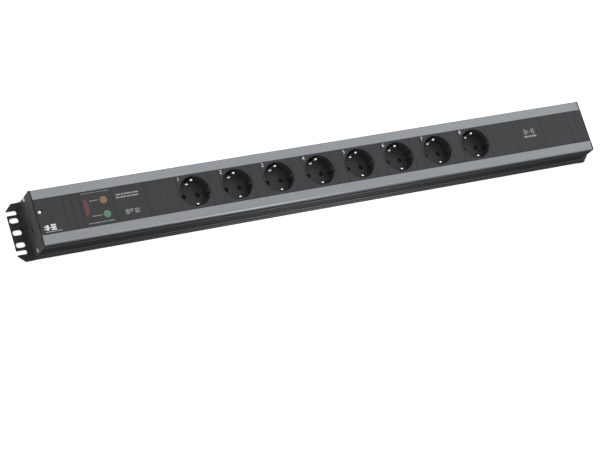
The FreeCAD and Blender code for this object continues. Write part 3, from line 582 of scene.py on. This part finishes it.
for side in (-1, 1):
    guide = [(20.5, floor - 0.5), (18.2, floor - 0.5), (18.2, face - 4.5), (18.9, face - 2.4),
             (20.5, face - 2)]
    rib = pushed("rib", [(socket_x + side * r * mm, -2.5 * mm, z * mm) for r, z in guide],
                 (0, 5 * mm, 0))
    carve(socket, rounded(rib, 0.3 * mm, 3), "UNION")
    hole_x = socket_x + side * 9.5 * mm
    carve(socket, lathe("hole", [(0, below - 1), (2.7, below - 1), (2.7, floor - 0.8),
                                 (3.4, floor + 0.1), (3.4, floor + 1), (0, floor + 1)], hole_x, 40))
    y0, y1 = sorted((side * 14.2 * mm, side * 20.7 * mm))
    carve(socket, block("groove", socket_x - 2.75 * mm, socket_x + 2.75 * mm, y0, y1,
                        below_z - mm, face_z - mm))
tip = floor - 8.8
pivot = lathe("pivot", [(0, floor - 0.5), (2, floor - 0.5), (2, tip + 1), (2.4, tip + 0.8), (2.1, tip),
                        (0, tip)], socket_x, 32)
carve(socket, pivot, "UNION")
hooks = [socket]
for side in (-1, 1):
    catch = under_z / mm - 0.1
    wedge = [(21.0, catch), (22.5, catch), (21.3, catch - 2.4), (21.0, catch - 2.4)]
    hook = pushed("hook", [(socket_x - 6 * mm, side * y * mm, z * mm) for y, z in wedge],
                  (12 * mm, 0, 0))
    hooks.append(rounded(hook, 0.1 * mm))
socket = joined("socket_moulding_1", hooks)
bpy.ops.object.shade_smooth_by_angle(angle=radians(30))
socket_black = grained("socket moulding", (0.0205, 0.0213, 0.0225), (0.0285, 0.0297, 0.031),
                       (0.4, 0.52), 2200.0, 0.015 * mm, (1, 1, 1), {"Specular IOR Level": 0.25})
for number in range(2, 9):
    twin = copied(socket, "socket_moulding_%d" % number, shift=((number - 1) * pitch, 0, 0))
    fitted(twin, socket_black, "socket_black", "socket_%d" % number)
fitted(socket, socket_black, "socket_black", "socket_1")

# --- Earth rail and clips ------------------------------------------------------------------------
# A nickel-plated steel strip runs along the floor of the channel. In every socket a sprung clip of
# the same strip stands up at the top and bottom of the recess, its end rolled over.
nickel = grained("bright nickel plate", (0.7, 0.7, 0.69), (0.86, 0.86, 0.85), (0.27, 0.38), 500.0,
                 0.01 * mm, (1, 1, 1), {"Metallic": 1.0})
low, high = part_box("earth_rail")
rail_z = low.z
half_clip = [(15.0, face - 4.4), (14.9, face - 3.5), (15.3, face - 2.7), (16.0, face - 2.3),
             (16.8, face - 2.5), (17.1, face - 3.4), (17.9, floor + 0.2), (17.4, floor - 1.6),
             (15.3, floor - 2.6), (14.95, floor - 3.6), (14.95, rail_z / mm + 0.4)]
loop = half_clip + [(-y, z) for y, z in reversed(half_clip)]
points = [(socket_x - 2.25 * mm, y * mm, z * mm) for y, z in loop]
bpy.ops.object.select_all(action="DESELECT")
bpy.ops.mesh.primitive_plane_add(size=mm, location=points[0])
clip = bpy.context.object
clip.name = "clip"
bpy.ops.object.mode_set(mode="EDIT")
bpy.ops.mesh.merge(type="CENTER")
for here, there in zip(points, points[1:]):
    bpy.ops.mesh.extrude_region_move(TRANSFORM_OT_translate={"value": Vector(there) - Vector(here)})
bpy.ops.mesh.select_all(action="SELECT")
bpy.ops.mesh.extrude_region_move(TRANSFORM_OT_translate={"value": (4.5 * mm, 0, 0)})
bpy.ops.mesh.select_all(action="SELECT")
bpy.ops.mesh.normals_make_consistent(inside=False)
bpy.ops.mesh.select_all(action="DESELECT")
bpy.ops.object.mode_set(mode="OBJECT")
bpy.ops.object.transform_apply(location=True, rotation=True, scale=True)
for vertex in clip.data.vertices:
    vertex.select = vertex.co.z > face_z - 5 * mm
bpy.ops.object.mode_set(mode="EDIT")
bpy.ops.transform.resize(value=(0.64, 1, 1), center_override=(socket_x, 0, face_z))
bpy.ops.object.mode_set(mode="OBJECT")
rounded(clip, 0.6 * mm, 3, 12)
sheet_metal = clip.modifiers.new("sheet", "SOLIDIFY")
sheet_metal.thickness, sheet_metal.offset = 0.8 * mm, 0.0
bpy.ops.object.modifier_apply(modifier="sheet")
rounded(clip, 0.12 * mm, 2, 60)
clips = [clip] + [copied(clip, "clip", shift=(k * pitch, 0, 0)) for k in range(1, 8)]
rail = block("rail", low.x, high.x, -5 * mm, 5 * mm, rail_z, rail_z + mm)
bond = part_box("earth_bond_screw")
bond_x = (bond[0].x + bond[1].x) / 2
carve(rail, lathe("cutter", [(0, 3), (2.1, 3), (2.1, 7), (0, 7)], bond_x, 32))
fitted(joined("earth_strip", [rounded(rail, 0.15 * mm)] + clips), nickel, "earth_nickel", "earth_rail")

# --- Shutters ------------------------------------------------------------------------------------
# Behind each pair of pin holes a moulded disc turns on the socket's pivot, and a hairpin of spring
# wire turns it back. They are seen only through the holes.
# The discs are coloured darker than the other black mouldings: painted shade, so that the pin holes read
# dark.
shutter_plastic = grained("shutter moulding", (0.005, 0.005, 0.0055), (0.011, 0.011, 0.0115),
                          (0.45, 0.6), 1800.0, 0.01 * mm, (1, 1, 1), {"Specular IOR Level": 0.12})
spring_wire = grained("drawn spring wire", (0.45, 0.45, 0.46), (0.62, 0.62, 0.63), (0.25, 0.4),
                      2500.0, 0.005 * mm, (1, 1, 1), {"Metallic": 1.0})


def painted(finish, *nodes):
    """Give CAD nodes whose shape is right a better finish."""
    for name in nodes:
        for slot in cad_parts[name].material_slots:
            slot.material = finish


painted(shutter_plastic, *["shutter_%d" % number for number in range(1, 9)])
painted(spring_wire, *["shutter_spring_%d" % number for number in range(1, 9)])

# --- Lamp lenses ---------------------------------------------------------------------------------
# Two round lenses, amber over green, are pressed through the surge module's plate. Each is a low
# dome with a ring moulded in it, over a hollow barrel. A small dark red one is in the next plate.


def lens(name, node, rim, ring, heart):
    """A lens turned round its own axis, its colour in rings."""
    low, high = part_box(node)
    middle = (low + high) / 2
    dome = [(0, face + 0.85), (1.6, face + 0.8), (2.6, face + 0.65), (2.9, face + 0.9),
            (3.6, face + 0.8), (4.5, face + 0.4), (4.95, face)]
    barrel = [(5, seat), (5.9, seat), (5.9, seat - 1.2), (3.4, seat - 1.2), (3.4, face - 1.2),
              (0, face - 1.2)]
    piece = turned(name, [(middle.x + r * mm, middle.y, z * mm) for r, z in dome + barrel], middle)
    finish, place = start_finish(name.replace("_", " "), {
        "Roughness": 0.3, "Coat Weight": 0.12, "Coat Roughness": 0.15, "Specular IOR Level": 0.35})
    flat = place.node("VectorMath", {"operation": "MULTIPLY"}, {0: place, 1: (1.0, 1.0, 0.0)})
    out = place.node("VectorMath", {"operation": "DISTANCE"}, {0: flat, 1: (middle.x, middle.y, 0)},
                     "Value")
    ramp = place.node("ValToRGB", {"stops": [(0.0, (*heart, 1)), (0.45, (*heart, 1)), (0.6, (*ring, 1)),
                                             (0.8, (*ring, 1)), (1.0, (*rim, 1))]},
                      {"Fac": out * (1 / (5 * mm))})
    grain = place.node("TexNoise", {}, {"Vector": place, "Scale": 900.0})
    colour = place.node("Mix", {"data_type": "RGBA", "blend_type": "OVERLAY"},
                        {0: 0.2, 6: ramp, 7: place.node("Mix", {"data_type": "RGBA"}, {
                            0: grain, 6: (0.4, 0.4, 0.4, 1), 7: (0.6, 0.6, 0.6, 1)}, 2)}, 2)
    rise = place.node("Bump", {}, {"Height": grain, "Strength": 0.2, "Distance": 0.01 * mm})
    feed(finish, {"Base Color": colour, "Normal": rise})
    return piece, finish


amber, amber_plastic = lens("amber_dome", "amber_lens", (0.085, 0.042, 0.024), (0.215, 0.12, 0.07),
                            (0.17, 0.095, 0.056))
fitted(amber, amber_plastic, "lens_amber", "amber_lens")
green, green_plastic = lens("green_dome", "green_lens", (0.025, 0.07, 0.042), (0.075, 0.19, 0.115),
                            (0.055, 0.15, 0.09))
fitted(green, green_plastic, "lens_green", "green_lens")
low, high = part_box("tell_tale_lens")
bottom, top = low.z / mm, high.z / mm
section = [(0, top), (1.3, top - 0.03), (1.85, top - 0.15), (2, face - 0.2), (2, seat), (2.8, seat),
           (2.8, seat - 1), (2, seat - 1), (2, bottom), (0, bottom)]
tell_tale_dome = turned("tell_tale_dome", [(tell_tale.x + r * mm, tell_tale.y, z * mm)
                                           for r, z in section], tell_tale, steps=40)
dark_red = grained("dark red lens", (0.03, 0.014, 0.015), (0.042, 0.02, 0.022), (0.3, 0.4), 900.0,
                   0.01 * mm)
fitted(tell_tale_dome, dark_red, "lens_red", "tell_tale_lens")

# --- Printing on the plates ----------------------------------------------------------------------
# Labels are screen-printed in white on the plates. They are given here as plain rules and simple
# signs with no wording, and each socket has its number.
ink = grained("white ink", (0.5, 0.5, 0.5), (0.62, 0.62, 0.62), (0.5, 0.65), 1500.0, 0.005 * mm)
grey_ink = grained("thin white ink", (0.2, 0.205, 0.21), (0.27, 0.275, 0.28), (0.5, 0.65), 1500.0,
                   0.005 * mm)
red_ink = grained("red ink", (0.078, 0.017, 0.022), (0.118, 0.026, 0.033), (0.5, 0.65), 1500.0,
                  0.005 * mm)
left_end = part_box("base_profile")[0].x
ink_z = face_z - 0.02 * mm
ink_t = 0.06 * mm


def rule(x, y, long, tall):
    """A printed bar whose lower left corner is at x, y in millimetres from the strip's end."""
    bar = block("bar", left_end + x * mm, left_end + (x + long) * mm, y * mm, (y + tall) * mm, ink_z,
                ink_z + ink_t)
    return rounded(bar, min(long, tall) * 0.2 * mm, 2, 80)


def row(x, y, tall, lengths, space=0.9):
    """A line of printed bars, one after another."""
    bars = []
    for long in lengths:
        bars.append(rule(x, y, long, tall))
        x += long + space
    return bars


def printed(name, pieces, finish):
    """Make printed pieces one, and fix it to the strip."""
    print_piece = joined(name, pieces)
    print_piece.data.materials.clear()
    print_piece.data.materials.append(finish)
    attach(print_piece, "strip")


bars = row(60.5, 19.8, 0.5, (7.0, 2.6, 8.2, 5.0, 10.0)) + row(61.0, -19.2, 0.9, (5.4, 9.2, 6.8, 9.4))
bars += row(69.3, 9.2, 0.9, (4.6, 5.4)) + row(68.2, -10.4, 0.9, (5.6, 6.2))
printed("surge_marks", bars, grey_ink)
bars = row(104.4, 11.2, 1.7, (5.8, 3.4, 7.6, 2.8, 6.2))
bars += row(104.0, 7.5, 1.7, (4.2, 8.0, 5.0, 9.4))
bars += row(111.2, -9.8, 1.2, (4.2, 5.4)) + row(111.2, -12.0, 1.2, (5.8, 2.4))
bars += row(111.2, -14.2, 1.2, (5,))
printed("label_marks", bars, grey_ink)
tile = [rule(123.6 + 2.1 * column, -14.4 + 2.1 * level, 1.5, 1.5)
        for column in range(3) for level in range(3)]
printed("label_tile", tile, grey_ink)

# the red sign is a bow that opens to the left
bow = []
for k in range(13):
    angle = radians(-58 + k * 116 / 12)
    bow.append((60.3 + 6.4 * cos(angle), 2.5 + 12.4 * sin(angle)))
bow += [(x - 6.2 + 3.4 * abs(k - 6) / 6, y * 0.96 + 0.15)
        for k, (x, y) in reversed(list(enumerate(bow)))]
arc = pushed("bow", [(left_end + x * mm, y * mm, ink_z) for x, y in bow], (0, 0, ink_t))
printed("red_bow", [arc], red_ink)

# a plug with two pins, and rules beside it, stand on the end plate
plug = [(4.4, -12.6), (7.4, -12.6), (7.4, -11.2), (9.6, -11.2), (10.6, -12.2), (10.6, -17.2),
        (9.6, -18.2), (7.4, -18.2), (7.4, -16.8), (4.4, -16.8), (4.4, -15.6), (7.4, -15.6),
        (7.4, -13.8), (4.4, -13.8)]
sign = pushed("plug", [(left_end + x * mm, y * mm, ink_z) for x, y in plug], (0, 0, ink_t))
bars = [sign, rule(11.0, -15.3, 1.6, 1.2)] + row(13.4, -13.0, 1.9, (6.4,))
bars += row(13.4, -15.7, 1.9, (6.4,)) + row(13.4, -18.4, 1.9, (6.4,))
bars += [rule(5.0, -20.2, 21.4, 0.4)]
printed("plug_sign", bars, ink)

# waves from a point, and a rule below them, stand on the radio module
low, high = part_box("radio_cover")
radio_x = (low.x + high.x) / 2 - left_end
waves = []
for radius in (2.6, 5.2, 7.8):
    for facing in (0, pi):
        rim = [(radius * cos(facing + radians(a)), radius * sin(facing + radians(a)))
               for a in range(-36, 37, 9)]
        rim += [((radius - 1.2) * cos(facing + radians(a)), (radius - 1.2) * sin(facing + radians(a)))
                for a in range(36, -37, -9)]
        waves.append(pushed("wave", [(left_end + radio_x + a * mm, (4.2 + b) * mm, ink_z)
                                     for a, b in rim], (0, 0, ink_t)))
waves += row(radio_x / mm - 9.4, -3.8, 2.4, (5.6, 4.4, 6.8), 0.9)
printed("radio_sign", waves, grey_ink)

for number in range(1, 9):
    bpy.ops.object.select_all(action="DESELECT")
    bpy.ops.object.text_add(location=(0, 0, 0))
    digit = bpy.context.object
    digit.data.body = str(number)
    digit.data.size = 7 * mm
    digit.data.extrude = ink_t / 2
    digit.data.align_x, digit.data.align_y = "CENTER", "CENTER"
    bpy.ops.object.convert(target="MESH")
    digit = bpy.context.object
    digit.location = (socket_x + (number - 1) * pitch - 17.6 * mm, 18.6 * mm, face_z + 0.01 * mm)
    bpy.ops.object.transform_apply(location=True, rotation=True, scale=True)
    printed("socket_number_%d" % number, [digit], ink)

# --- Supply inlet --------------------------------------------------------------------------------
# A flanged moulded inlet fills the window of the right-hand bracket. Two countersunk screws hold
# it, and three nickel-plated blades stand in its mouth.
low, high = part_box("inlet_body")
plate_x = high.x - 2.5 * mm


def rounded_box(name, x0, x1, half_y, half_z, radius):
    """A block along X whose four long edges are rounded."""
    bpy.ops.object.select_all(action="DESELECT")
    bpy.ops.mesh.primitive_cube_add(size=1, location=((x0 + x1) / 2, 0, inlet_z),
                                    scale=(x1 - x0, 2 * half_y, 2 * half_z))
    piece = bpy.context.object
    piece.name = name
    bpy.ops.object.transform_apply(location=True, rotation=True, scale=True)
    bpy.ops.object.mode_set(mode="EDIT")
    bpy.ops.mesh.select_all(action="DESELECT")
    bpy.ops.mesh.select_mode(type="EDGE")
    bpy.ops.object.mode_set(mode="OBJECT")
    for edge in piece.data.edges:
        ends = [piece.data.vertices[i].co for i in edge.vertices]
        edge.select = abs(ends[0].x - ends[1].x) > mm
    bpy.ops.object.mode_set(mode="EDIT")
    bpy.ops.mesh.bevel(offset=radius, segments=8)
    bpy.ops.object.mode_set(mode="OBJECT")
    return piece


inlet = rounded_box("inlet_moulding", plate_x, high.x, 29.5 * mm, 14 * mm, 4 * mm)
rounded(inlet, 0.4 * mm, 3)
carve(inlet, rounded_box("shell", low.x, high.x - mm, 17.1 * mm, 12.3 * mm, 3 * mm), "UNION")
carve(inlet, rounded_box("mouth", high.x - 24 * mm, high.x + mm, 15.3 * mm, 10.5 * mm, 2.5 * mm))
for side in (-1, 1):
    sink = [(high.x + mm, 0), (high.x + mm, 2.85), (high.x - 0.3 * mm, 2.85),
            (high.x - 1.5 * mm, 1.7), (plate_x - mm, 1.7), (plate_x - mm, 0)]
    carve(inlet, turned("cutter", [(x, side * 25 * mm + r * mm, inlet_z) for x, r in sink],
                        (0, side * 25 * mm, inlet_z), (1, 0, 0), 32))
for y, z in ((-6.5, 4), (6.5, 4), (0, -4)):
    carve(inlet, block("blade slot", low.x - mm, high.x - 23 * mm, (y - 4) * mm, (y + 4) * mm,
                       inlet_z + (z - 1) * mm, inlet_z + (z + 1) * mm))
bpy.ops.object.select_all(action="DESELECT")
inlet.select_set(True)
bpy.ops.object.shade_smooth_by_angle(angle=radians(35))
inlet_black = grained("inlet moulding", (0.022, 0.022, 0.023), (0.032, 0.032, 0.033), (0.4, 0.55),
                      1600.0, 0.015 * mm)
fitted(inlet, inlet_black, "inlet_black", "inlet_body")
painted(nickel, "inlet_pins")
painted(zinc, "inlet_screws")

# --- What the channel holds ----------------------------------------------------------------------
# Two brass rails and their carrier, the surge and radio boards with their parts, the lamps, the
# standoff and the supply wires are closed in by the plates. Each has the finish of its material.
brass = grained("rolled brass", (0.6, 0.42, 0.16), (0.72, 0.54, 0.24), (0.25, 0.4), 900.0,
                0.01 * mm, (0.05, 1, 1), {"Metallic": 1.0})
natural = grained("natural polyamide", (0.55, 0.5, 0.4), (0.66, 0.62, 0.52), (0.4, 0.55), 600.0,
                  0.02 * mm, (1, 1, 1), {"Subsurface Weight": 0.1})
solder_mask = grained("green solder mask", (0.01, 0.1, 0.045), (0.02, 0.16, 0.07), (0.2, 0.35),
                      400.0, 0.02 * mm)
varistor = grained("blue epoxy", (0.02, 0.07, 0.25), (0.03, 0.11, 0.34), (0.3, 0.45), 700.0,
                   0.03 * mm)
led_clear = grained("clear epoxy", (0.7, 0.72, 0.72), (0.8, 0.82, 0.82), (0.08, 0.16), 500.0,
                    0.005 * mm, (1, 1, 1), {"Transmission Weight": 0.6})
relay_case = grained("relay case", (0.03, 0.06, 0.14), (0.045, 0.08, 0.18), (0.35, 0.5), 900.0,
                     0.01 * mm)
painted(brass, "line_rail", "neutral_rail")
painted(natural, "rail_carrier")
painted(solder_mask, "surge_board", "radio_board")
painted(varistor, "surge_varistors")
painted(led_clear, "indicator_leds")
painted(relay_case, "radio_relay")
painted(zinc, "end_module_standoff", "earth_bond_screw")
painted(grained("brown insulation", (0.1, 0.045, 0.02), (0.14, 0.065, 0.03), (0.4, 0.55), 800.0,
                0.01 * mm), "line_wire")
painted(grained("blue insulation", (0.02, 0.08, 0.28), (0.03, 0.11, 0.36), (0.4, 0.55), 800.0,
                0.01 * mm), "neutral_wire")

# the earth wire's insulation is green with a yellow stripe along it
insulation, place = start_finish("green and yellow insulation", {"Roughness": 0.45})
split = place.node("SeparateXYZ", {}, {0: place}, "Y")
stripe = place.node("Math", {"operation": "GREATER_THAN"}, {0: split, 1: 0.4 * mm})
fleck = place.node("TexNoise", {}, {"Vector": place, "Scale": 800.0})
colour = place.node("Mix", {"data_type": "RGBA"},
                    {0: stripe, 6: (0.03, 0.22, 0.05, 1), 7: (0.7, 0.55, 0.04, 1)}, 2)
rise = place.node("Bump", {}, {"Height": fleck, "Strength": 0.4, "Distance": 0.01 * mm})
feed(insulation, {"Base Color": colour, "Normal": rise})
painted(insulation, "earth_wire")
